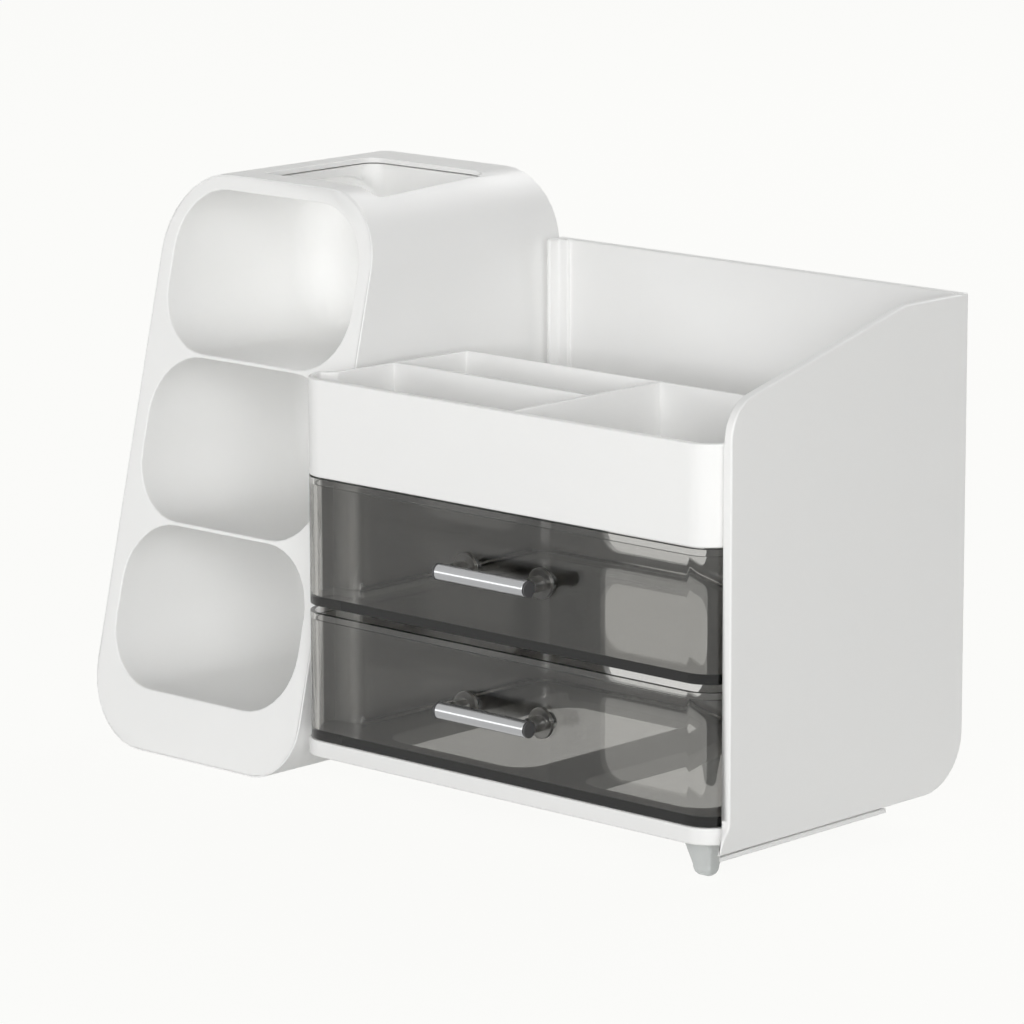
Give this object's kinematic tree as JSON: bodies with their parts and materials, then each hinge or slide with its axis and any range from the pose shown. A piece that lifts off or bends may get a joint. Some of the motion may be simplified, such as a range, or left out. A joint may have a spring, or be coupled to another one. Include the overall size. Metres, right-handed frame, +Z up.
{
  "type": "brush holder with drawers",
  "caption": "White vanity organiser: a leaning-faced tower with stacked rounded brush pockets, joined to a cabinet with smoked see-through drawers and a divided top tray.",
  "frame": {"origin": "centre of the whole's footprint, on the surface that it stands on", "axes": "+X to the cabinet's right as seen from the front, +Y to the back, +Z up"},
  "size_m": [0.2568, 0.1214, 0.1716],
  "materials": {
    "white_plastic": "moulded satin-gloss white",
    "smoke_plastic": "clear smoked, polished",
    "bar_metal": "satin silver",
    "cap_plastic": "matt dark grey",
    "post_plastic": "clear smoked, moulded",
    "screw_steel": "zinc-plated steel",
    "bumper_rubber": "soft translucent",
    "foot_plastic": "translucent, moulded"
  },
  "bodies": {
    "cabinet": {"cabinet_shell": "white_plastic", "deck": "white_plastic", "tray": "white_plastic", "ledge_left": "white_plastic", "ledge_right": "white_plastic", "under_strip": "white_plastic", "tower_shell": "white_plastic", "tower_core": "white_plastic", "tower_back": "white_plastic", "bumper_lower_left": "bumper_rubber", "bumper_lower_right": "bumper_rubber", "bumper_upper_left": "bumper_rubber", "bumper_upper_right": "bumper_rubber", "foot_front": "foot_plastic", "foot_rear": "foot_plastic", "joint_dowel_front": "post_plastic", "joint_dowel_rear": "post_plastic"},
    "lower_drawer": {"drawer_lower": "smoke_plastic", "handle_bar_lower": "bar_metal", "handle_cap_lower_left": "cap_plastic", "handle_post_lower_left": "post_plastic", "handle_screw_lower_left": "screw_steel", "handle_cap_lower_right": "cap_plastic", "handle_post_lower_right": "post_plastic", "handle_screw_lower_right": "screw_steel"},
    "upper_drawer": {"drawer_upper": "smoke_plastic", "handle_bar_upper": "bar_metal", "handle_cap_upper_left": "cap_plastic", "handle_post_upper_left": "post_plastic", "handle_screw_upper_left": "screw_steel", "handle_cap_upper_right": "cap_plastic", "handle_post_upper_right": "post_plastic", "handle_screw_upper_right": "screw_steel"}
  },
  "joints": [
    {"name": "lower_drawer_slide", "type": "slide", "parent": "cabinet", "child": "lower_drawer", "axis": [0, -1, 0], "range_m": [0, 0.078]},
    {"name": "upper_drawer_slide", "type": "slide", "parent": "cabinet", "child": "upper_drawer", "axis": [0, -1, 0], "range_m": [0, 0.078]}
  ]
}
